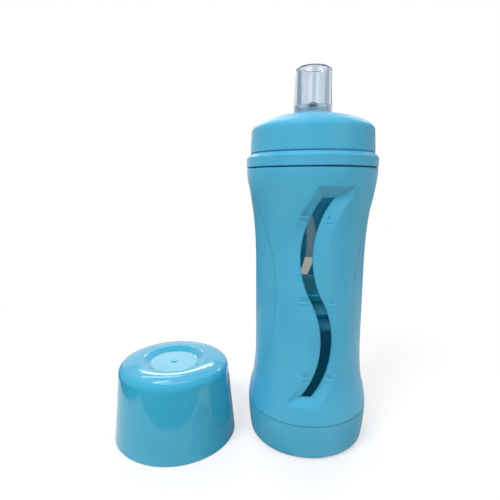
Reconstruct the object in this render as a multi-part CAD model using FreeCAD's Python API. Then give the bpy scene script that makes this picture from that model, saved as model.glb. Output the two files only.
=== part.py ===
import FreeCAD, Part

import math
import os

V = FreeCAD.Vector
ORIGIN = V(0, 0, 0)
UP = V(0, 0, 1)

# Driving dimensions in millimetres. The floor is at zero, Z points up and the bottle's axis is Z.

# Bottle shell, between the base seam and the collar seam
base_height = 17.5  # floor to the seam under the shell
shell_height = 113.0
hip_inset = 0.85  # how far the shell is narrower at the base seam than at the collar seam
waist_gap = 0.8  # inside of the waist to the cylinder
waist_height = 60.0  # floor to the narrowest place
hip_sharpness = 2.3  # how late the shell flares towards the hip
shoulder_sharpness = 2.7  # how late it flares towards the shoulder
shell_wall = 2.2
shell_end_wall = 2.6  # floor and ceiling of the space round the cylinder

# S-shaped windows, front and back
window_height = 73.9  # floor to the middle of the S
window_width = 5.1  # level width of the slot
window_bulge = 4.7  # how far the S swings to each side
window_bulge_rise = 19.2  # middle of the S to its widest swing
window_reach = 44.3  # middle of the S to the end of the slot
window_sink = 0.4  # how far the slot's edges lie inside the waist
window_flank_left = 4.35  # width of the sloped flank left of the slot
window_flank_right = 6.2
window_flank_growth = 0.75  # how much wider the right flank is at the slot's top than at its middle
window_top_rise = 4.7  # height of the sloped end above the slot
window_top_left = -0.95  # its corners, sideways from the middle of the S
window_top_right = 14.5
window_bottom_rise = 3.9  # height of the sloped end below the slot
window_bottom_left = -12.7
window_bottom_right = 1.6
window_backing = 1.7  # wall left behind the flanks
flank_overshoot = 1.6  # how far the flank cutter runs past the shell, in flank widths
end_overshoot = 1.35  # how far the end cutter runs past the shell, in end heights

# Side grip panels
panel_height = 100.0
panel_width = 38.6
panel_middle = 74.5  # floor to the middle of the panel
panel_depth = 0.35

# Food cylinder
chamber_radius = 21.5
cylinder_wall = 1.4
cylinder_fit = 0.2  # radial gap to the shell's neck and spigot
cylinder_foot_gap = 1.6  # cylinder's lower end over the base floor
flange_thickness = 1.2
flange_inset = 0.3  # flange inside the neck's root

# Neck and its screw thread
neck_height = 14.6
neck_wall = 1.5
thread_lead = 8.0
thread_starts = 2
thread_turns = 1.0
thread_depth = 1.1
thread_root_width = 2.0
thread_crest_width = 1.0
thread_clearance = 0.5  # radial gap from a crest to the facing root
thread_rise = 3.6  # shoulder to the middle of the thread's first ridge
thread_bite = 0.6  # how deep a ridge is rooted in its wall
collar_thread_turn = 45.0  # degrees from the neck's first ridge to the collar's

# Collar
collar_seam = 0.5
ring_overhang = 0.05  # ring over the shell's shoulder
ring_height = 4.2
ring_edge = 0.4  # small rounding of the ring's lower edge
bevel_height = 1.6
bevel_width = 1.4
groove_height = 0.7
groove_depth = 0.5
skirt_wall = 2.15  # thread bore to the foot of the domed part
skirt_taper = 0.5  # how much the domed part draws in before its dome
dome_rise = 8.2
dome_wall = 2.0
spout_hole_radius = 9.25
land_depth = 1.2  # dome's springing line below the seal's ceiling
bore_ceiling_gap = 0.3  # thread bore's ceiling over the cylinder's flange
lip_width = 1.0  # rib that keeps the collar seal from creeping inwards
lip_drop = 1.0
seal_thickness = 1.5
seal_gap = 0.1  # above and below the seal
seal_side_gap = 0.25

# Spout and its valve
spout_length = 20.35  # above the rim of the collar's hole
spout_fit = 0.25  # radial gap in the collar's hole
spout_middle_inset = 0.8  # inside the collar's hole
spout_tip_inset = 1.1
spout_lip = 1.3  # rounding of the mouth's outer edge
spout_bore = 5.9
mouth_bevel = 0.85
spout_flange_reach = 3.0  # beyond the collar's hole
spout_flange_thickness = 1.5
spout_flange_gap = 0.3  # flange under the dome
valve_seat_wall = 2.1  # collar's hole to the valve's seat
valve_height = 5.6
valve_inset = 2.3  # valve's foot above the spout's foot
valve_fit = 0.1
valve_wall = 1.3
valve_dome_radius = 2.6
valve_dome_height = 1.7
valve_skin = 0.8
valve_slit_length = 3.4
valve_slit_width = 0.3

# Platform and its wiping sleeve
platform_rest = 75.7  # floor to the platform's top in the stored pose
platform_height = 16.6
platform_plate = 3.0
platform_rim = 1.2  # rim plate that covers the sleeve's top
platform_wall = 2.0
platform_fit = 0.1  # between platform and sleeve
sleeve_gap = 1.2  # sleeve to the cylinder's wall
sleeve_wall = 1.8
lip_count = 3
lip_height = 1.2
lip_clearance = 0.2  # lips to the cylinder's wall

# Base cap
base_seam = 0.1
base_floor = 2.4
base_round = 3.2  # rounding of the foot's edge
base_foot_inset = 4.35  # flat foot inside the hip
base_belly_inset = 0.5
base_belly_height = 8.5
base_fit = 0.3  # radial gap round the shell's spigot
spigot_wall = 2.9
spigot_height = 12.4
vent_radius = 1.5
vent_place = 12.0  # axis to the vent hole
vent_channel_width = 2.0
vent_channel_depth = 0.8

# Dust cap, standing beside the bottle on its open side
cap_height = 37.7
cap_taper = 3.45  # how much the sides draw in up to the top
cap_round = 3.6
cap_crown = 38.0  # radius of the top's slight crown
cap_fit = 0.15  # radial gap over the collar's domed part
cap_wall = 1.5  # at the open edge
cap_top_wall = 1.6
cap_edge = 0.4
cap_recess_radius = 15.4
cap_recess_floor_radius = 11.6
cap_recess_depth = 1.6
gate_radius = 1.3  # moulding mark in the middle of the recess
gate_height = 0.3
cap_gap = 6.5  # between the cap and the bottle's widest place
cap_forward = 2.0  # towards the viewer

# Places worked out from the sizes above
shell_top = base_height + shell_height
cylinder_radius = chamber_radius + cylinder_wall
sleeve_radius = chamber_radius - sleeve_gap
bore_radius = cylinder_radius + cylinder_fit
neck_radius = bore_radius + neck_wall
spigot_radius = bore_radius + spigot_wall
collar_bore = neck_radius + thread_depth + thread_clearance
skirt_radius = collar_bore + skirt_wall
ring_radius = skirt_radius + cap_fit + cap_wall
cap_top_radius = ring_radius - cap_taper  # where the sides would meet the top
shoulder_radius = ring_radius - ring_overhang
hip_radius = shoulder_radius - hip_inset
waist_radius = cylinder_radius + waist_gap + shell_wall
window_floor_radius = waist_radius - window_sink
base_foot_radius = hip_radius - base_foot_inset
base_belly_radius = hip_radius - base_belly_inset
neck_top = shell_top + neck_height
flange_top = neck_top + flange_thickness
seal_ceiling = flange_top + seal_thickness + 2 * seal_gap
collar_foot = shell_top + collar_seam
dome_foot = seal_ceiling - land_depth
dome_radius = skirt_radius - skirt_taper
under_radius = dome_radius - dome_wall
under_rise = dome_rise - dome_wall
spout_middle_radius = spout_hole_radius - spout_middle_inset
spout_tip_radius = spout_hole_radius - spout_tip_inset
spout_flange_radius = spout_hole_radius + spout_flange_reach
valve_seat_radius = spout_hole_radius - valve_seat_wall
valve_radius = valve_seat_radius - valve_fit
window_swing = (window_bulge ** 2 + window_bulge_rise ** 2) / (2 * window_bulge)
flange_radius = neck_radius - flange_inset
root_overlap = shell_end_wall / 2  # how far the neck and the spigot reach into the shell
cut_reach = 2 * shoulder_radius  # far enough to cut past the shell


def dome(radius, rise, at):
    """Height of the collar's dome, an ellipse, at a distance from the axis."""
    return dome_foot + rise * math.sqrt(1 - (at / radius) ** 2)


hole_rim = dome(dome_radius, dome_rise, spout_hole_radius)
spout_flange_top = dome(under_radius, under_rise, spout_flange_radius) - spout_flange_gap
valve_ceiling = spout_flange_top - spout_flange_thickness + valve_height + valve_fit + valve_inset


def place(point):
    """A profile point (radius, height) in the XZ plane."""
    return V(point[0], 0, point[1])


def path(*points):
    """Straight edges through profile points."""
    return [Part.makeLine(place(a), place(b)) for a, b in zip(points, points[1:])]


def bow(start, middle, end):
    """A circular arc through three profile points."""
    return Part.Arc(place(start), place(middle), place(end)).toShape()


def smooth(points):
    """A smooth curve through profile points."""
    curve = Part.BSplineCurve()
    curve.interpolate([place(point) for point in points])
    return curve.toShape()


def around(centre, radius, angle):
    """Profile point at a distance and an angle in degrees from a centre."""
    turn = math.radians(angle)
    return (centre[0] + radius * math.cos(turn), centre[1] + radius * math.sin(turn))


def quarter(centre, radius, start, end):
    """An arc about a profile point, between two angles in degrees."""
    angles = (start, (start + end) / 2, end)
    return bow(*[around(centre, radius, angle) for angle in angles])


def spun(edges):
    """A solid of revolution about Z from a closed profile."""
    return Part.Face(Part.Wire(Part.__sortEdges__(edges))).revolve(ORIGIN, UP, 360)


def tube(inner, outer, low, high):
    """A plain ring or tube about Z."""
    body = Part.makeCylinder(outer, high - low, V(0, 0, low))
    return body.cut(Part.makeCylinder(inner, high - low, V(0, 0, low)))


def turned(shape, angle):
    """A copy turned about the bottle's axis."""
    copy = shape.copy()
    copy.rotate(ORIGIN, UP, angle)
    return copy


def cap_arc(radius, low, high):
    """Quarter ellipse of a small dome, from its springing line up to the axis."""
    wide, tall = V(radius, 0, low), V(0, 0, high)
    if high - low < radius:
        return Part.ArcOfEllipse(Part.Ellipse(wide, tall, V(0, 0, low)), 0, math.pi / 2).toShape()
    return bow((radius, low), (radius * math.sqrt(0.5), low + radius * math.sqrt(0.5)), (0, high))


def shell_radius(height):
    """Outer radius of the shell, a waist that flares to the hip below and the shoulder above."""
    if height < waist_height:
        share = (waist_height - height) / (waist_height - base_height)
        flare, sharpness = hip_radius - waist_radius, hip_sharpness
    else:
        share = (height - waist_height) / (shell_top - waist_height)
        flare, sharpness = shoulder_radius - waist_radius, shoulder_sharpness
    return waist_radius + flare * (1 - math.cos(math.pi * share ** sharpness)) / 2


def shell_body(low, high, inset, stations=25):
    """Solid of the shell's own curve between two heights, drawn in by an inset."""
    heights = [low + (high - low) * i / (stations - 1) for i in range(stations)]
    side = [(shell_radius(height) - inset, height) for height in heights]
    return spun([smooth(side)] + path(side[-1], (0, high), (0, low), side[0]))


def thread(root, outward, first_height, first_angle):
    """Helical ridges on a cylindrical wall, one for each start."""
    sign = 1 if outward else -1
    rooted = root - sign * thread_bite
    crest = root + sign * thread_depth
    half_crest = thread_crest_width / 2
    flank = (thread_root_width / 2 - half_crest) / thread_depth
    half_rooted = thread_root_width / 2 + flank * thread_bite
    corners = [(rooted, -half_rooted), (crest, -half_crest), (crest, half_crest),
               (rooted, half_rooted), (rooted, -half_rooted)]
    section = Part.Wire(path(*corners))
    spine = Part.Wire(Part.makeHelix(thread_lead, thread_lead * thread_turns, root).Edges)
    ridge = spine.makePipeShell([section], True, True)
    ridge.translate(V(0, 0, first_height))
    return [turned(ridge, first_angle + 360 * i / thread_starts) for i in range(thread_starts)]


def window_edge(rise, side):
    """Sideways place of a slot edge, at a height from the middle of the S; side is -1 or 1."""
    if rise < 0:
        return -window_edge(-rise, -side)
    arc = math.sqrt(window_swing ** 2 - (rise - window_bulge_rise) ** 2)
    return window_swing - window_bulge - arc + side * window_width / 2


def window_slot():
    """Cutter for the S-shaped slot in the front wall."""
    def at(rise, side):
        return V(window_edge(rise, side), 0, window_height + rise)

    def run(side):
        upper = Part.Arc(at(window_reach, side), at(window_bulge_rise, side), at(0, side))
        lower = Part.Arc(at(0, side), at(-window_bulge_rise, side), at(-window_reach, side))
        return [upper.toShape(), lower.toShape()]

    ends = [Part.makeLine(at(rise, -1), at(rise, 1)) for rise in (window_reach, -window_reach)]
    outline = Part.Wire(Part.__sortEdges__(run(-1) + run(1) + ends))
    return Part.Face(outline).extrude(V(0, -cut_reach, 0))


def on_front(sideways, radius):
    """Point of a horizontal section on the front of a circle about the axis."""
    return V(sideways, -math.sqrt(radius ** 2 - sideways ** 2), 0)


def flank_corners(rise, inset):
    """Floor and outer corners of the sloped flanks, left then right, at a height from the middle."""
    outer = shell_radius(window_height + rise)
    floor_radius = window_floor_radius - inset
    right_flank = window_flank_right + window_flank_growth * rise / window_reach
    corners = []
    for side, flank in ((-1, window_flank_left), (1, right_flank)):
        sideways = window_edge(rise, side) + side * inset
        foot = on_front(sideways, floor_radius)
        azimuth = math.asin(sideways / floor_radius) + side * flank / outer
        rim = V((outer - inset) * math.sin(azimuth), -(outer - inset) * math.cos(azimuth), 0)
        corners.append((foot, foot + (rim - foot) * flank_overshoot))
    return corners


def flank_section(corners, height):
    """Closed horizontal section of the flank cutter, from its floor out past the shell."""
    (left, left_rim), (right, right_rim) = corners
    far = [V(point).normalize() * cut_reach for point in (right_rim, left_rim)]
    sides = Part.makePolygon([right, right_rim] + far + [left_rim, left])
    middle = (left + right).normalize() * (left.Length + right.Length) / 2
    floor = Part.Arc(left, middle, right).toShape()
    wire = Part.Wire([floor] + sides.Edges)
    wire.translate(V(0, 0, height))
    return wire


def window_end(inset, sign, end_rise, left, right):
    """Cutter for the sloped end of a window, above (1) or below (-1) the slot."""
    slot_end = sign * window_reach
    outer = shell_radius(window_height + slot_end + sign * end_rise) - inset
    near = flank_corners(slot_end, inset)
    far = []
    for (foot, rim), (sideways, side) in zip(near, ((left, -1), (right, 1))):
        corner = on_front(sideways + side * inset, outer)
        moved = foot + (corner - foot) * end_overshoot
        far.append((moved, moved + (rim - foot)))
    low = flank_section(near, window_height + slot_end)
    rise = sign * (end_rise + inset) * end_overshoot
    high = flank_section(far, window_height + slot_end + rise)
    return Part.makeLoft([low, high], True, True)


def window_flanks(inset=0.0, stations=13):
    """Cutter for the sloped trough round a slot, or its backing when drawn in by an inset."""
    sections = []
    for i in range(stations):
        rise = -window_reach + 2 * window_reach * i / (stations - 1)
        sections.append(flank_section(flank_corners(rise, inset), window_height + rise))
    trough = Part.makeLoft(sections, True, False)
    top = window_end(inset, 1, window_top_rise, window_top_left, window_top_right)
    bottom = window_end(inset, -1, window_bottom_rise, window_bottom_left, window_bottom_right)
    return trough.multiFuse([top, bottom])


def side_panel():
    """Cutter for the shallow oval grip panel on the right side."""
    middle = V(0, 0, panel_middle)
    top = middle + V(0, 0, panel_height / 2)
    flank = middle + V(0, panel_width / 2, 0)
    oval = Part.Face(Part.Wire(Part.Ellipse(top, flank, middle).toShape()))
    prism = oval.extrude(V(cut_reach, 0, 0))
    return prism.cut(shell_body(base_height, shell_top, panel_depth))


def make_bottle_shell():
    """Outer shell with windows, grip panels, threaded neck and plain spigot."""
    shell = shell_body(base_height, shell_top, 0.0)
    slot = window_slot()
    trough = window_flanks()
    backing = window_flanks(window_backing)
    panel = side_panel()
    hollow = shell_body(base_height + shell_end_wall, shell_top - shell_end_wall, shell_wall)
    hollow = hollow.cut([backing, turned(backing, 180)])
    shell = shell.cut([panel, turned(panel, 180), trough, turned(trough, 180)])
    spigot_foot = base_height - spigot_height
    spigot = Part.makeCylinder(spigot_radius, spigot_height + root_overlap, V(0, 0, spigot_foot))
    neck = Part.makeCylinder(neck_radius, neck_height + root_overlap, V(0, 0, shell_top - root_overlap))
    for ridge in thread(neck_radius, True, shell_top + thread_rise, 0):
        neck = neck.fuse(ridge)
    bore = Part.makeCylinder(bore_radius, neck_top - spigot_foot, V(0, 0, spigot_foot))
    shell = shell.fuse(spigot).fuse(neck)
    return shell.cut(hollow).cut(bore).cut([slot, turned(slot, 180)])


def make_inner_cylinder():
    """Clear food cylinder, hung by its flange on the neck's rim."""
    foot = base_floor + cylinder_foot_gap
    wall = tube(chamber_radius, cylinder_radius, foot, flange_top)
    flange = tube(cylinder_radius - cylinder_wall / 2, flange_radius, neck_top, flange_top)
    return wall.fuse(flange).removeSplitter()


def make_collar():
    """Screw collar: a plain ring, a bevel, a shadow groove and a domed top with the spout's hole."""
    ring_top = collar_foot + ring_height
    bevel_top = ring_top + bevel_height
    groove_top = bevel_top + groove_height
    groove_radius = skirt_radius - groove_depth
    lip_foot = seal_ceiling - lip_drop
    lip_outer = chamber_radius + flange_inset
    lip_inner = lip_outer - lip_width

    def dome_arc(radius, rise, start, end):
        ellipse = Part.Ellipse(V(radius, 0, dome_foot), V(0, 0, dome_foot + rise), V(0, 0, dome_foot))
        return Part.ArcOfEllipse(ellipse, math.acos(start / radius), math.acos(end / radius)).toShape()

    bore_ceiling = flange_top + bore_ceiling_gap
    outside = path((collar_bore, collar_foot), (ring_radius - ring_edge, collar_foot))
    outside.append(quarter((ring_radius - ring_edge, collar_foot + ring_edge), ring_edge, -90, 0))
    outside += path((ring_radius, collar_foot + ring_edge), (ring_radius, ring_top),
                    (ring_radius - bevel_width, bevel_top), (groove_radius, bevel_top),
                    (groove_radius, groove_top), (skirt_radius, groove_top), (dome_radius, dome_foot))
    outside.append(dome_arc(dome_radius, dome_rise, dome_radius, spout_hole_radius))
    hole_foot = dome(under_radius, under_rise, spout_hole_radius)
    inside = [dome_arc(under_radius, under_rise, lip_inner, spout_hole_radius)]
    inside += path((lip_inner, dome(under_radius, under_rise, lip_inner)), (lip_inner, lip_foot),
                   (lip_outer, lip_foot), (lip_outer, seal_ceiling), (neck_radius, seal_ceiling),
                   (neck_radius, bore_ceiling), (collar_bore, bore_ceiling), (collar_bore, collar_foot))
    hole = path((spout_hole_radius, hole_rim), (spout_hole_radius, hole_foot))
    body = spun(outside + hole + inside)
    half_pitch = thread_lead / thread_starts / 2
    first_height = shell_top + thread_rise - half_pitch + thread_lead * collar_thread_turn / 360
    for ridge in thread(collar_bore, False, first_height, collar_thread_turn):
        body = body.fuse(ridge)
    return body.removeSplitter()


def make_collar_seal():
    """Soft ring between the collar and the food cylinder's rim."""
    inner = chamber_radius + flange_inset + seal_side_gap
    foot = flange_top + seal_gap
    return tube(inner, flange_radius, foot, foot + seal_thickness)


def make_spout():
    """Soft clear spout with a flange under the collar's dome and a seat for the valve."""
    foot_radius = spout_hole_radius - spout_fit
    top = hole_rim + spout_length
    lip_foot = top - spout_lip
    middle = hole_rim + spout_length / 2
    flange_foot = spout_flange_top - spout_flange_thickness
    outside = path((valve_seat_radius, flange_foot), (spout_flange_radius, flange_foot),
                   (spout_flange_radius, spout_flange_top), (foot_radius, spout_flange_top),
                   (foot_radius, hole_rim))
    outside.append(smooth([(foot_radius, hole_rim), (spout_middle_radius, middle),
                           (spout_tip_radius, lip_foot)]))
    outside.append(quarter((spout_tip_radius - spout_lip, lip_foot), spout_lip, 0, 90))
    inside = path((spout_tip_radius - spout_lip, top), (spout_bore + mouth_bevel, top),
                  (spout_bore, top - mouth_bevel), (spout_bore, valve_ceiling),
                  (valve_seat_radius, valve_ceiling), (valve_seat_radius, flange_foot))
    return spun(outside + inside)


def make_spout_valve():
    """Soft domed slit valve pressed into the foot of the spout from below."""
    shelf = valve_ceiling - valve_fit
    foot = shelf - valve_height
    spring = shelf + valve_dome_height - valve_dome_radius / 2
    crown = shelf + valve_dome_height
    hollow_radius = valve_dome_radius - valve_skin
    outside = path((valve_radius - valve_wall, foot), (valve_radius, foot), (valve_radius, shelf),
                   (valve_dome_radius, shelf), (valve_dome_radius, spring))
    outside.append(cap_arc(valve_dome_radius, spring, crown))
    inside = [cap_arc(hollow_radius, spring, crown - valve_skin)]
    inside += path((hollow_radius, spring), (hollow_radius, shelf - valve_wall),
                   (valve_radius - valve_wall, shelf - valve_wall), (valve_radius - valve_wall, foot))
    body = spun(outside + path((0, crown), (0, crown - valve_skin)) + inside)
    slit = Part.makeBox(valve_slit_length, valve_slit_width, valve_dome_height,
                        V(-valve_slit_length / 2, -valve_slit_width / 2, spring))
    return body.cut(slit)


def make_platform():
    """Rising floor of the food chamber: a plate with a skirt and a rim over the sleeve."""
    foot = platform_rest - platform_height
    skirt = sleeve_radius - sleeve_wall - platform_fit
    hollow = skirt - platform_wall
    under = platform_rest - platform_plate
    rim_foot = platform_rest - platform_rim
    return spun(path((0, platform_rest), (sleeve_radius, platform_rest), (sleeve_radius, rim_foot),
                     (skirt, rim_foot), (skirt, foot), (hollow, foot), (hollow, under), (0, under),
                     (0, platform_rest)))


def make_platform_seal():
    """Soft sleeve round the platform with evenly spaced wiping lips."""
    foot = platform_rest - platform_height
    head = platform_rest - platform_rim - platform_fit
    sleeve = tube(sleeve_radius - sleeve_wall, sleeve_radius, foot, head)
    spacing = (head - foot - lip_height) / (lip_count - 1)
    root = sleeve_radius - sleeve_wall / 2
    crest = chamber_radius - lip_clearance
    for i in range(lip_count):
        low = foot + spacing * i
        sleeve = sleeve.fuse(tube(root, crest, low, low + lip_height))
    return sleeve.removeSplitter()


def make_base_cap():
    """Base cup pushed over the shell's spigot, with a vent under the platform."""
    top = base_height - base_seam
    round_centre = (base_foot_radius, base_round)
    lean = math.degrees(math.atan2(base_belly_radius - base_foot_radius - base_round,
                                   base_belly_height - base_round))
    side_foot = around(round_centre, base_round, -lean)
    outside = path((0, 0), (base_foot_radius, 0))
    outside.append(quarter(round_centre, base_round, -90, -lean))
    outside.append(bow(side_foot, (base_belly_radius, base_belly_height), (hip_radius, top)))
    bore = spigot_radius + base_fit
    inside = path((hip_radius, top), (bore, top), (bore, base_floor), (0, base_floor), (0, 0))
    cup = spun(outside + inside)
    vent = Part.makeCylinder(vent_radius, base_floor, V(0, vent_place, 0))
    channel = Part.makeBox(vent_channel_width, 2 * hip_radius, vent_channel_depth,
                           V(-vent_channel_width / 2, vent_place, 0))
    return cup.cut([vent, channel])


def make_dust_cap():
    """Dust cap standing on its open side, with a crowned top and a shallow round recess in it."""
    slope = (ring_radius - cap_top_radius) / cap_height
    lean = math.atan(slope)
    tilt = math.degrees(lean)

    def side(height):
        return ring_radius - height * slope

    def corner(height, rounding, shrink):
        return (side(height) - shrink - rounding / math.cos(lean), height)

    # The edge's rounding touches the crown from inside and the side from inside
    crown_centre = (cap_recess_radius, cap_height - cap_crown)
    reach = ring_radius - cap_round / math.cos(lean) - cap_recess_radius
    a = 1 + slope ** 2
    b = crown_centre[1] + slope * reach
    c = crown_centre[1] ** 2 + reach ** 2 - (cap_crown - cap_round) ** 2
    outer_centre = corner((b + math.sqrt(b ** 2 - a * c)) / a, cap_round, 0)
    meet = math.degrees(math.atan2(outer_centre[1] - crown_centre[1], outer_centre[0] - crown_centre[0]))

    inner_round = cap_round - cap_top_wall
    inner_centre = corner(outer_centre[1], inner_round, cap_wall)
    inner_height = inner_centre[1] + inner_round
    recess_floor = cap_height - cap_recess_depth
    gate_top = recess_floor + gate_height
    boss_foot = recess_floor - cap_top_wall
    boss_radius = cap_recess_radius + cap_top_wall / 2
    boss_floor_radius = cap_recess_floor_radius + cap_top_wall / 2
    outside = path((ring_radius - cap_wall, 0), (ring_radius - cap_edge, 0), (side(cap_edge), cap_edge),
                   around(outer_centre, cap_round, tilt))
    outside.append(quarter(outer_centre, cap_round, tilt, meet))
    outside.append(quarter(crown_centre, cap_crown, meet, 90))
    outside += path((cap_recess_radius, cap_height), (cap_recess_floor_radius, recess_floor),
                    (gate_radius, recess_floor), (gate_radius, gate_top), (0, gate_top))
    inside = path((0, gate_top), (0, boss_foot), (boss_floor_radius, boss_foot),
                  (boss_radius, inner_height), around(inner_centre, inner_round, 90))
    inside.append(quarter(inner_centre, inner_round, tilt, 90))
    inside += path(around(inner_centre, inner_round, tilt), (ring_radius - cap_wall, 0))
    cap = spun(outside + inside)
    cap.translate(V(-2 * ring_radius - cap_gap, -cap_forward, 0))
    return cap


parts = {
    "bottle_shell": make_bottle_shell(),
    "inner_cylinder": make_inner_cylinder(),
    "collar": make_collar(),
    "collar_seal": make_collar_seal(),
    "spout": make_spout(),
    "spout_valve": make_spout_valve(),
    "platform": make_platform(),
    "platform_seal": make_platform_seal(),
    "base_cap": make_base_cap(),
    "dust_cap": make_dust_cap(),
}

os.makedirs("parts", exist_ok=True)
for name, shape in parts.items():
    print(name, "valid", shape.isValid(), "solids", len(shape.Solids), "volume", round(shape.Volume, 1))
    shape.exportStep("parts/" + name + ".step")
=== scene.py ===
import math

import bpy
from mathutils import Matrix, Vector


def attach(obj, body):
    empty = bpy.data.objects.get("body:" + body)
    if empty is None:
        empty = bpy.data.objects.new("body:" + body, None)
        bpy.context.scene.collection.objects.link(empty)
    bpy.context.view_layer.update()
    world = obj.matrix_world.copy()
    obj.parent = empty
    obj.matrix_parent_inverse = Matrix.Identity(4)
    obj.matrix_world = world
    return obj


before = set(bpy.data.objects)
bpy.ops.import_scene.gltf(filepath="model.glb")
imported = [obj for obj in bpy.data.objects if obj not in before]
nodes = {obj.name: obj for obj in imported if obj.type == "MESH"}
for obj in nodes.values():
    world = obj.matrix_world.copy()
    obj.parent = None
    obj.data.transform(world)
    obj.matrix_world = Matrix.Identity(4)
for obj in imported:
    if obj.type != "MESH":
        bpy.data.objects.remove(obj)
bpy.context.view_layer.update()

MM = 0.001

# Colours, as linear values
BLUE = (0.062, 0.385, 0.610)
BLUE_PALE = (0.074, 0.410, 0.640)
CAP_BLUE = (0.036, 0.345, 0.535)
CAP_BLUE_PALE = (0.047, 0.380, 0.575)
CLEAR = (0.86, 0.94, 0.96)
WET_SHEEN = (0.20, 0.30, 0.34)
SILICONE = (0.85, 0.92, 0.98)
SILICONE_MILKY = (0.80, 0.86, 0.92)
VALVE_DOME = (0.10, 0.20, 0.30)
VALVE_FLANGE = (0.46, 0.66, 0.76)
PLATFORM = (0.006, 0.150, 0.200)
PLATFORM_PALE = (0.030, 0.210, 0.260)
LIP = (0.002, 0.150, 0.250)
LIP_PALE = (0.006, 0.180, 0.290)
PAINTED_HIGHLIGHT = (0.070, 0.370, 0.560)  # painted highlight on the lit upper edge of the platform and on the feet of the sleeve's lips
WHITE = (1.0, 1.0, 1.0)
BLACK = (0.0, 0.0, 0.0)

# Painted glow that stands in for daylight coming through the blue wall, low and high in the shell
# and on the platform
GLOW_LOW = (0.001, 0.019, 0.022)
GLOW_HIGH = (0.001, 0.044, 0.056)
PLATFORM_GLOW = (0.001, 0.058, 0.095)
GLOW_FROM = 50 * MM
GLOW_TO = 105 * MM

# How each plastic bends light, and the weak sheen of what stands behind the clear cylinder
SATIN_IOR = 1.46
GLOSS_IOR = 1.50
CLEAR_IOR = 1.49
SILICONE_IOR = 1.41
DULL_SHEEN = 0.15

# Radii that soften moulded edges
EDGE_SOFTNESS = 0.35 * MM
WINDOW_SOFTNESS = 1.30 * MM
CAP_SOFTNESS = 0.90 * MM
MARK_SOFTNESS = 0.05 * MM

# Places where a finish changes
STEP = 0.1 * MM  # width of the change at an edge
INNER_WALL = -18 * MM  # normal times distance from the axis, on walls that face inwards
INNER_WALL_END = -10 * MM
LEDGE_LOW = 1 * MM  # inside of the base cap, up to the seam over it
LEDGE_HIGH = 24 * MM
LEDGE_FADE = 1 * MM
LEDGE_RADIUS = 26.9 * MM
VALVE_DOME_RADIUS = 2.6 * MM
VALVE_DOME_EDGE = 0.2 * MM
PLATFORM_RIM_RADIUS = 20.1 * MM
PLATFORM_RIM = 75.4 * MM
UPPER_LIP_TOP = 71.5 * MM
UPPER_LIP_FOOT = 67.2 * MM
LOWER_LIP_TOP = 65.2 * MM
LOWER_LIP_FOOT = 60.2 * MM


class Value:
    """A value in a node tree. Sums, differences and products of values add Math nodes."""

    def __init__(self, owner, socket):
        self.owner = owner
        self.socket = socket

    def maths(self, operation, first, second):
        return self.owner.node("ShaderNodeMath", {"operation": operation}, {0: first, 1: second})

    def __add__(self, other):
        return self.maths("ADD", self, other)

    def __sub__(self, other):
        return self.maths("SUBTRACT", self, other)

    def __rsub__(self, other):
        return self.maths("SUBTRACT", other, self)

    def __mul__(self, other):
        return self.maths("MULTIPLY", self, other)

    __radd__ = __add__
    __rmul__ = __mul__


class Tree:
    """The node tree of a material or of the world."""

    def __init__(self, owner):
        owner.use_nodes = True
        self.owner = owner
        self.tree = owner.node_tree
        self.tree.nodes.clear()

    def node(self, kind, settings=None, inputs=None, output=0):
        """A node of one kind: its settings are made first, then its sockets filled or linked."""
        made = self.tree.nodes.new(kind)
        for key, value in (settings or {}).items():
            setattr(made, key, value)
        for key, value in (inputs or {}).items():
            if isinstance(value, Value):
                self.tree.links.new(value.socket, made.inputs[key])
            else:
                made.inputs[key].default_value = value
        return Value(self, made.outputs[output]) if made.outputs else made

    def place(self):
        """Place on the piece itself, in metres."""
        return self.node("ShaderNodeTexCoord", output="Object")

    def level(self):
        """Place with its height left out."""
        return self.node("ShaderNodeVectorMath", {"operation": "MULTIPLY"}, {
            0: self.place(), 1: (1.0, 1.0, 0.0)})

    def radius(self):
        """Distance from the bottle's axis."""
        return self.node("ShaderNodeVectorMath", {"operation": "LENGTH"}, {
            0: self.level()}, output="Value")

    def height(self):
        return self.node("ShaderNodeSeparateXYZ", None, {0: self.place()}, output=2)

    def noise(self, scale, detail=2.0, roughness=0.5):
        return self.node("ShaderNodeTexNoise", {"noise_dimensions": "3D"}, {
            "Vector": self.place(), "Scale": scale, "Detail": detail, "Roughness": roughness})

    def spread(self, value, low, high, start=0.0, end=1.0):
        """A value carried from one range to another, held at both ends."""
        return self.node("ShaderNodeMapRange", {"clamp": True}, {
            "Value": value, "From Min": low, "From Max": high, "To Min": start, "To Max": end})

    def beyond(self, value, edge):
        """1 where a value is past an edge, and 0 before it."""
        return self.spread(value, edge, edge + STEP)

    def mix(self, share, first, second):
        """A mix of two colours."""
        def full(colour):
            return colour if isinstance(colour, Value) else (*colour, 1.0)
        return self.node("ShaderNodeMix", {"data_type": "RGBA"}, {
            0: share, 6: full(first), 7: full(second)}, output=2)

    def bump(self, height, strength, distance, softness=EDGE_SOFTNESS):
        """A fine relief on edges that are softened as moulded edges are."""
        edge = self.node("ShaderNodeBevel", {"samples": 4}, {"Radius": softness})
        return self.node("ShaderNodeBump", None, {
            "Height": height, "Strength": strength, "Distance": distance, "Normal": edge})

    def surface(self, shader):
        """Closes a material with its shader."""
        self.node("ShaderNodeOutputMaterial", None, {"Surface": shader})
        return self.owner


def new_finish(name):
    return Tree(bpy.data.materials.new(name))


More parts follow.
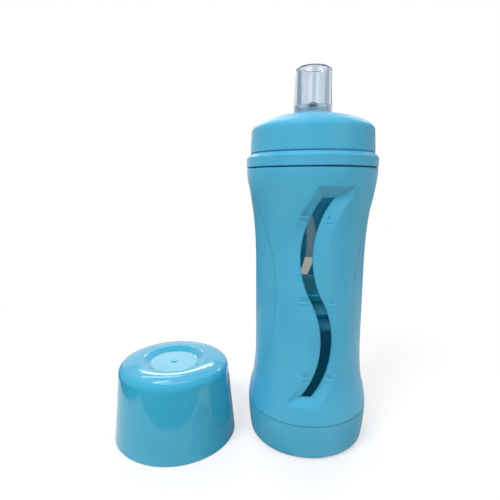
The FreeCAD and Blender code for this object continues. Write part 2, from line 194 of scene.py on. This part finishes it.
def satin_blue(name, softness):
    """Moulded satin plastic: a fine grain, faint flow clouds and slightly polished patches.

    Inside the bottle it has a faint painted glow, which stands in for light that comes through
    the wall.
    """
    made = new_finish(name)
    clouds = made.noise(45.0, 3.0)
    grain = made.noise(5200.0, 2.0, 0.6)
    polish = made.noise(120.0, 2.0)
    colour = made.mix(made.spread(clouds, 0.35, 0.65), BLUE, BLUE_PALE)
    roughness = made.spread(polish, 0.3, 0.7, 0.34, 0.40) + (grain - 0.5) * 0.05
    # Painted glow on the walls that face the axis and on the ledge inside the base cap
    outward = made.node("ShaderNodeVectorMath", {"operation": "DOT_PRODUCT"}, {
        0: made.node("ShaderNodeTexCoord", output="Normal"), 1: made.level()}, output="Value")
    height = made.height()
    ledge = made.spread(height, LEDGE_LOW, LEDGE_LOW + LEDGE_FADE)
    ledge = ledge * (1 - made.spread(height, LEDGE_HIGH, LEDGE_HIGH + LEDGE_FADE))
    ledge = ledge * (1 - made.beyond(made.radius(), LEDGE_RADIUS))
    painted_glow_share = 1 - made.spread(outward, INNER_WALL, INNER_WALL_END) + ledge
    painted_glow_colour = made.mix(made.spread(height, GLOW_FROM, GLOW_TO), GLOW_LOW, GLOW_HIGH)
    return made.surface(made.node("ShaderNodeBsdfPrincipled", None, {
        "Base Color": colour,
        "Roughness": roughness,
        "IOR": SATIN_IOR,
        "Emission Color": made.mix(painted_glow_share, BLACK, painted_glow_colour),
        "Emission Strength": 1.0,
        "Normal": made.bump(grain, 0.10, 0.04 * MM, softness),
    }))


def gloss_blue():
    """Polished plastic of the dust cap, with faint flow clouds, wiping haze and ripples."""
    made = new_finish("gloss_blue")
    clouds = made.noise(40.0, 3.0)
    haze = made.noise(90.0, 4.0, 0.6)
    ripple = made.noise(160.0, 1.0)
    colour = made.mix(made.spread(clouds, 0.35, 0.65), CAP_BLUE, CAP_BLUE_PALE)
    return made.surface(made.node("ShaderNodeBsdfPrincipled", None, {
        "Base Color": colour,
        "Roughness": made.spread(haze, 0.35, 0.75, 0.07, 0.13),
        "IOR": GLOSS_IOR,
        "Normal": made.bump(ripple, 0.008, 0.2 * MM, CAP_SOFTNESS),
    }))


def clear_plastic():
    """Clear moulded plastic with faint wiping haze."""
    made = new_finish("clear_plastic")
    haze = made.noise(110.0, 3.0)
    tint = made.mix(made.spread(haze, 0.3, 0.7), CLEAR, WHITE)
    return made.surface(made.node("ShaderNodeBsdfPrincipled", None, {
        "Base Color": tint,
        "Roughness": made.spread(haze, 0.3, 0.8, 0.02, 0.06),
        "IOR": CLEAR_IOR,
        "Specular Tint": (*WET_SHEEN, 1.0),
        "Transmission Weight": 1.0,
    }))


def clear_silicone(name, tint, milky, smooth, rough, core=None):
    """Clear soft silicone: faintly milky clouds, a slightly dulled skin, and a core if any."""
    made = new_finish(name)
    clouds = made.noise(180.0, 3.0)
    skin = made.noise(900.0, 2.0)
    colour = made.mix(made.spread(clouds, 0.3, 0.7), tint, milky)
    if core:
        outer = made.spread(
            made.radius(), VALVE_DOME_RADIUS, VALVE_DOME_RADIUS + VALVE_DOME_EDGE)
        colour = made.mix(outer, core, colour)
    return made.surface(made.node("ShaderNodeBsdfPrincipled", None, {
        "Base Color": colour,
        "Roughness": made.spread(skin, 0.3, 0.7, smooth, rough),
        "IOR": SILICONE_IOR,
        "Transmission Weight": 1.0,
        "Normal": made.bump(skin, 0.04, 0.1 * MM),
    }))


def platform_plastic():
    """Dark satin plastic of the platform, with pale specks, a painted highlight on its upper edge
    and a painted glow.
    """
    made = new_finish("platform_plastic")
    specks = made.spread(made.noise(1400.0, 3.0, 0.7), 0.58, 0.72)
    clouds = made.noise(150.0, 2.0)
    # Painted highlight on the platform's upper edge
    highlight_share = made.beyond(made.radius(), PLATFORM_RIM_RADIUS)
    highlight_share = highlight_share * made.beyond(made.height(), PLATFORM_RIM)
    colour = made.mix(specks * 0.8, PLATFORM, PLATFORM_PALE)
    return made.surface(made.node("ShaderNodeBsdfPrincipled", None, {
        "Base Color": made.mix(highlight_share, colour, PAINTED_HIGHLIGHT),
        "Roughness": made.spread(clouds, 0.3, 0.7, 0.45, 0.6),
        "Specular IOR Level": DULL_SHEEN,
        # Painted glow, standing in for light that comes through the wall
        "Emission Color": (*PLATFORM_GLOW, 1.0),
        "Emission Strength": 1.0,
    }))


def lip_silicone():
    """Soft silicone of the wiping sleeve, with a painted highlight that grows paler towards the
    foot of each lip.
    """
    made = new_finish("lip_silicone")
    clouds = made.noise(200.0, 3.0)
    height = made.height()

    def fade(top, foot):
        return made.spread(height, top, foot + 2 * STEP) * made.beyond(height, foot)

    below_upper = 1 - made.beyond(height, UPPER_LIP_FOOT)
    # Painted highlight: each lip turns paler towards its foot
    highlight_share = fade(UPPER_LIP_TOP, UPPER_LIP_FOOT)
    highlight_share = highlight_share + fade(LOWER_LIP_TOP, LOWER_LIP_FOOT) * below_upper
    colour = made.mix(made.spread(clouds, 0.3, 0.7), LIP, LIP_PALE)
    return made.surface(made.node("ShaderNodeBsdfPrincipled", None, {
        "Base Color": made.mix(highlight_share, colour, PAINTED_HIGHLIGHT),
        "Roughness": made.spread(clouds, 0.3, 0.7, 0.4, 0.55),
        "Specular IOR Level": DULL_SHEEN,
    }))


# Finishes of the CAD nodes
satin = satin_blue("satin_blue", EDGE_SOFTNESS)
finishes = {
    "bottle_shell": satin_blue("shell_blue", WINDOW_SOFTNESS),
    "collar": satin,
    "base_cap": satin,
    "dust_cap": gloss_blue(),
    "inner_cylinder": clear_plastic(),
    "spout": clear_silicone("spout_silicone", SILICONE, SILICONE_MILKY, 0.03, 0.07),
    "spout_valve": clear_silicone(
        "valve_silicone", VALVE_FLANGE, SILICONE_MILKY, 0.15, 0.25, VALVE_DOME),
    "collar_seal": clear_silicone("seal_silicone", SILICONE_MILKY, SILICONE, 0.2, 0.3),
    "platform": platform_plastic(),
    "platform_seal": lip_silicone(),
}
for name, material in finishes.items():
    node = nodes[name]
    node.data.materials.clear()
    node.data.materials.append(material)

# Raised graduations beside the front window, in millimetres
MARK_RAISE = 0.26  # how far they stand out
MARK_SINK = 0.10  # how deep they are rooted
TICK_LENGTH = 3.6
TICK_WIDTH = 1.90
TICK_CREST = 0.20
TICK_STEPS = 4
NUMBER_SIZE = 2.6
NUMBER_GAP = 0.3  # tick to the foot of its number
NUMBER_EDGE = 0.08
VIEWER_SIDE = -0.2  # well before the shell, in metres
mark_blue = satin_blue("mark_blue", MARK_SOFTNESS)


def front_of_shell(x, z):
    """How far back the shell's front face lies at a place given in metres."""
    _, point, _, _ = nodes["bottle_shell"].ray_cast(
        Vector((x, VIEWER_SIDE, z)), Vector((0, 1, 0)))
    return point.y


def lay_on_shell(mesh):
    """Lays a mark on the shell's front. It is drawn flat in X and Y, with its height in Z."""
    for vertex in mesh.vertices:
        x, z, height = vertex.co * MM
        vertex.co = (x, front_of_shell(x, z) - height, z)


def tick_mesh(x, z):
    """A ridge with sloping sides, whose middle is at a place on the shell."""
    section = [(-TICK_WIDTH / 2, -MARK_SINK), (TICK_WIDTH / 2, -MARK_SINK),
               (TICK_CREST / 2, MARK_RAISE), (-TICK_CREST / 2, MARK_RAISE)]
    sides = len(section)
    near_end = tuple(range(sides))
    far_end = tuple(TICK_STEPS * sides + corner for corner in reversed(range(sides)))
    points = []
    faces = [near_end, far_end]
    for step in range(TICK_STEPS + 1):
        along = x + TICK_LENGTH * (step / TICK_STEPS - 0.5)
        points += [(along, z + across, height) for across, height in section]
    for step in range(TICK_STEPS):
        for corner in range(sides):
            first = step * sides + corner
            second = step * sides + (corner + 1) % sides
            faces.append((second, first, first + sides, second + sides))
    mesh = bpy.data.meshes.new("tick")
    mesh.from_pydata(points, [], faces)
    return mesh


def number_mesh(text, x, z):
    """A plain raised number that stands over a tick."""
    curve = bpy.data.curves.new("number", "FONT")
    curve.body = text
    curve.size = NUMBER_SIZE
    curve.align_x = "CENTER"
    curve.resolution_u = 3
    curve.extrude = MARK_RAISE - NUMBER_EDGE
    curve.bevel_depth = NUMBER_EDGE
    curve.bevel_resolution = 1
    drawn = bpy.data.objects.new("number", curve)
    mesh = bpy.data.meshes.new_from_object(drawn)
    for vertex in mesh.vertices:
        vertex.co += Vector((x, z + TICK_WIDTH / 2 + NUMBER_GAP, 0))
    bpy.data.objects.remove(drawn)
    bpy.data.curves.remove(curve)
    return mesh


def graduation(name, text, x, z):
    """A raised tick with its number, moulded on the shell beside the window."""
    for kind, mesh in (("tick", tick_mesh(x, z)), ("number", number_mesh(text, x, z))):
        lay_on_shell(mesh)
        mesh.materials.append(mark_blue)
        piece = bpy.data.objects.new(kind + "_" + name, mesh)
        bpy.context.scene.collection.objects.link(piece)
        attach(piece, "bottle")


graduation("left_high", "180", -6.35, 109.9)
graduation("left_middle", "120", -5.80, 73.3)
graduation("left_low", "60", -4.26, 38.7)
graduation("right_high", "6", 3.92, 108.3)
graduation("right_middle", "4", 6.28, 72.0)
graduation("right_low", "2", 6.45, 37.6)

# Clear pieces let the room's light through to what lies behind them
for name in ("inner_cylinder", "spout", "spout_valve"):
    nodes[name].visible_shadow = False
    nodes[name].visible_diffuse = False


def light_path(tree, kind):
    return tree.node("ShaderNodeLightPath", output=kind)


def stage_piece(name, corners, material):
    """A flat piece of the stage."""
    mesh = bpy.data.meshes.new(name)
    mesh.from_pydata(corners, [], [tuple(range(len(corners)))])
    mesh.materials.append(material)
    piece = bpy.data.objects.new(name, mesh)
    bpy.context.scene.collection.objects.link(piece)
    return piece


def block(left, front, right, back):
    """Outline of a rectangle, seen from above."""
    return [(left, front), (right, front), (right, back), (left, back)]


FLOOR_REACH = 6.0
FLOOR_MIDDLE = (-0.03, 0.02, 0.0)
FLOOR_WHITE = (0.92, 0.92, 0.92)
FLOOR_BOUNCE = (0.46, 0.44, 0.36)  # what it throws back on the object
FADE_FROM = 0.06  # from here on the floor fades into the background
FADE_TO = 0.30
FADE_LEAST = 0.55


def floor_white():
    """Matt white floor. Away from the object it fades into the plain white of the background."""
    made = new_finish("floor_white")
    away = made.node("ShaderNodeVectorMath", {"operation": "DISTANCE"}, {
        0: made.place(), 1: FLOOR_MIDDLE}, output="Value")
    seen = light_path(made, "Is Camera Ray") + light_path(made, "Is Glossy Ray")
    fade = made.spread(away, FADE_FROM, FADE_TO, FADE_LEAST, 1.0) * made.spread(seen, 0.0, 1.0)
    white = made.node("ShaderNodeBsdfDiffuse", None, {"Color": (*FLOOR_WHITE, 1.0)})
    bounce = made.node("ShaderNodeBsdfDiffuse", None, {"Color": (*FLOOR_BOUNCE, 1.0)})
    matt = made.node("ShaderNodeMixShader", None, {
        0: light_path(made, "Is Diffuse Ray"), 1: white, 2: bounce})
    plain = made.node("ShaderNodeEmission", None, {"Color": (*WHITE, 1.0)})
    return made.surface(made.node("ShaderNodeMixShader", None, {0: fade, 1: matt, 2: plain}))


floor_outline = block(-FLOOR_REACH, -FLOOR_REACH, FLOOR_REACH, FLOOR_REACH)
stage_piece("floor", [(x, y, 0) for x, y in floor_outline], floor_white())

CARD_REACH = 1.6
CARD_LIFT = 0.2 * MM  # cards that lie on the floor


def card(name, colour, corners, rays):
    """A plain card that is seen only in reflections, only through clear pieces, or both ways."""
    made = new_finish(name)
    material = made.surface(made.node("ShaderNodeEmission", None, {"Color": (*colour, 1.0)}))
    piece = stage_piece(name, corners, material)
    piece.visible_camera = False
    piece.visible_diffuse = False
    piece.visible_shadow = False
    piece.visible_glossy = rays != "through"
    piece.visible_transmission = rays != "reflected"


def floor_card(name, colour, outline, rays="reflected"):
    """A card that lies on the floor, with its outline seen from above."""
    card(name, colour, [(x, y, CARD_LIFT) for x, y in outline], rays)


def wall_card(name, colour, back, across, up, rays="reflected"):
    """An upright card that faces the viewer."""
    left, right = across
    low, high = up
    card(name, colour, [
        (left, back, low), (right, back, low), (right, back, high), (left, back, high)], rays)


# The dark side of the room, where the viewer stands, and the edges of the pale table
ROOM_DARK = (0.05, 0.08, 0.10)
ROOM_FRONT = -0.60
TABLE_FRONT = -0.070
TABLE_LEFT = -0.149
TABLE_BACK = 0.16
floor_card("dark_front_floor", ROOM_DARK,
           block(-CARD_REACH, ROOM_FRONT, CARD_REACH, TABLE_FRONT), "both")
floor_card("dark_left_floor", ROOM_DARK,
           block(-CARD_REACH, TABLE_FRONT, TABLE_LEFT, CARD_REACH))
wall_card("dark_front_wall", ROOM_DARK, ROOM_FRONT, (-CARD_REACH, CARD_REACH), (0, 1.1))

# Painted shade: dark cards, seen only in reflections, for the shaded table between the cap and
# the bottle, before the bottle and right of it
GAP_FRONT = -0.031
floor_card("dark_gap_floor", (0.22, 0.25, 0.25), block(-0.047, GAP_FRONT, -0.010, 0.060))
floor_card("dim_near_floor", (0.52, 0.55, 0.55), [
    (-0.050, -0.037), (-0.022, -0.064), (0.014, -0.064), (0.014, GAP_FRONT), (-0.050, GAP_FRONT)])
floor_card("dim_right_floor", (0.42, 0.42, 0.40), [
    (0.018, -0.038), (0.050, -0.030), (0.050, 0.040), (0.018, 0.040)])

# The back of the room: a dim floor, a pale wall and one bright place on it
WALL_BACK = 1.0
floor_card("dim_back_floor", (0.42, 0.43, 0.42),
           block(TABLE_LEFT, TABLE_BACK, CARD_REACH, CARD_REACH))
wall_card("pale_back_wall", (1.25, 1.22, 1.14), WALL_BACK, (-0.80, 0.45), (0.02, 0.56))
wall_card("pale_upper_wall", (0.95, 0.90, 0.84), WALL_BACK, (-0.90, 0.90), (0.60, 1.60))
wall_card("bright_back", (2.6, 2.75, 2.3), WALL_BACK - 0.01, (-0.38, -0.17), (0.44, 0.57))

# What shows through both windows behind the bottle
WINDOW_BACK = 0.080
WINDOW_ACROSS = (-0.03, 0.05)
wall_card("dim_back", (0.09, 0.155, 0.205), WINDOW_BACK, WINDOW_ACROSS, (0.074, 0.110), "through")
wall_card("warm_back", (0.40, 0.37, 0.34), WINDOW_BACK, WINDOW_ACROSS, (0.040, 0.074), "through")

# What the spout's clear wall shows of the room: grey sides, paler towards the middle, one upright
LEFT_GREY = (0.27, 0.35, 0.44)
RIGHT_GREY = (0.38, 0.46, 0.54)
SOFT_GREY = (0.82, 0.82, 0.84)
UPRIGHT_GREY = (0.68, 0.71, 0.78)
ROOM_BACK = 0.90
ROOM_LOW = 0.1
ROOM_TOP = 1.0
for name, colour, left, right in (
        ("grey_left", LEFT_GREY, (-1.40, 0.10), (-0.27, ROOM_BACK)),
        ("soft_left", SOFT_GREY, (-0.27, ROOM_BACK), (0.064, ROOM_BACK)),
        ("grey_upright", UPRIGHT_GREY, (0.122, ROOM_BACK), (0.180, ROOM_BACK)),
        ("soft_right", SOFT_GREY, (0.235, ROOM_BACK), (0.60, ROOM_BACK)),
        ("grey_right", RIGHT_GREY, (0.60, ROOM_BACK), (1.40, 0.10))):
    card(name, colour, [
        (*left, ROOM_LOW), (*right, ROOM_LOW), (*right, ROOM_TOP), (*left, ROOM_TOP)], "through")

LAMP_AIM = Vector((-0.02, 0.0, 0.08))


def lamp(name, place, width, height, power, reflected=False):
    """A soft rectangular lamp that points at the middle of the object."""
    data = bpy.data.lights.new(name, "AREA")
    data.shape = "RECTANGLE"
    data.size, data.size_y = width, height
    data.energy = power
    made = bpy.data.objects.new(name, data)
    made.location = place
    made.rotation_euler = (LAMP_AIM - Vector(place)).to_track_quat("-Z", "Y").to_euler()
    made.visible_camera = False
    made.visible_transmission = False
    made.visible_glossy = reflected
    bpy.context.scene.collection.objects.link(made)


lamp("key_lamp", (-0.56, -0.66, 0.92), 0.5, 0.5, 10.5)
lamp("right_fill", (0.76, -0.84, 0.44), 0.6, 0.6, 3.6)
lamp("ceiling_lamp", (-0.05, 0.1, 1.25), 0.9, 0.9, 3.6)
lamp("back_fill", (0.55, 0.80, 0.28), 0.6, 0.4, 2.4)

# Rows of narrow ceiling lights behind the bottle: left end, right end, how far back, power
ROW_HEIGHT = 0.60
ROW_WIDTH = 0.035
for row, (left, right, back, power) in enumerate((
        (-0.42, 0.00, 0.90, 0.8),
        (-0.40, -0.17, 0.66, 0.14),
        (-0.29, -0.18, 0.44, 0.08),
        (-0.22, -0.05, 0.33, 0.26),
        (0.25, 0.55, 0.62, 0.40))):
    lamp("row_lamp_%d" % row, ((left + right) / 2, back, ROW_HEIGHT),
         right - left, ROW_WIDTH, power, True)

# Room: plain white behind the object, a plain level of light and a dimmer sheen in reflections
ROOM_LIGHT = 0.36
ROOM_SHEEN = 0.45
world = bpy.data.worlds.new("room")
bpy.context.scene.world = world
sky = Tree(world)


def glow(level):
    return sky.node("ShaderNodeBackground", None, {"Color": (*WHITE, 1.0), "Strength": level})


through = light_path(sky, "Is Transmission Ray")
shown = sky.spread(light_path(sky, "Is Camera Ray") + through, 0.0, 1.0)
lit = sky.node("ShaderNodeMixShader", None, {
    0: light_path(sky, "Is Glossy Ray"), 1: glow(ROOM_LIGHT), 2: glow(ROOM_SHEEN)})
sky.node("ShaderNodeOutputWorld", None, {
    "Surface": sky.node("ShaderNodeMixShader", None, {0: shown, 1: lit, 2: glow(1.0)})})

# Camera, as the photograph was taken: close, a little above the bottle's shoulder and to its left
CAMERA_PLACE = (-28.56 * MM, -188.81 * MM, 123.98 * MM)
CAMERA_PITCH = 9.544  # degrees below level
camera = bpy.data.cameras.new("camera")
camera.sensor_width = 36.0
camera.lens = 28.543
camera.clip_start = 0.01
camera.clip_end = 50.0
eye = bpy.data.objects.new("camera", camera)
eye.location = CAMERA_PLACE
eye.rotation_euler = (math.radians(90 - CAMERA_PITCH), 0, 0)
bpy.context.scene.collection.objects.link(eye)
bpy.context.scene.camera = eye
bpy.context.scene.view_settings.view_transform = "Standard"
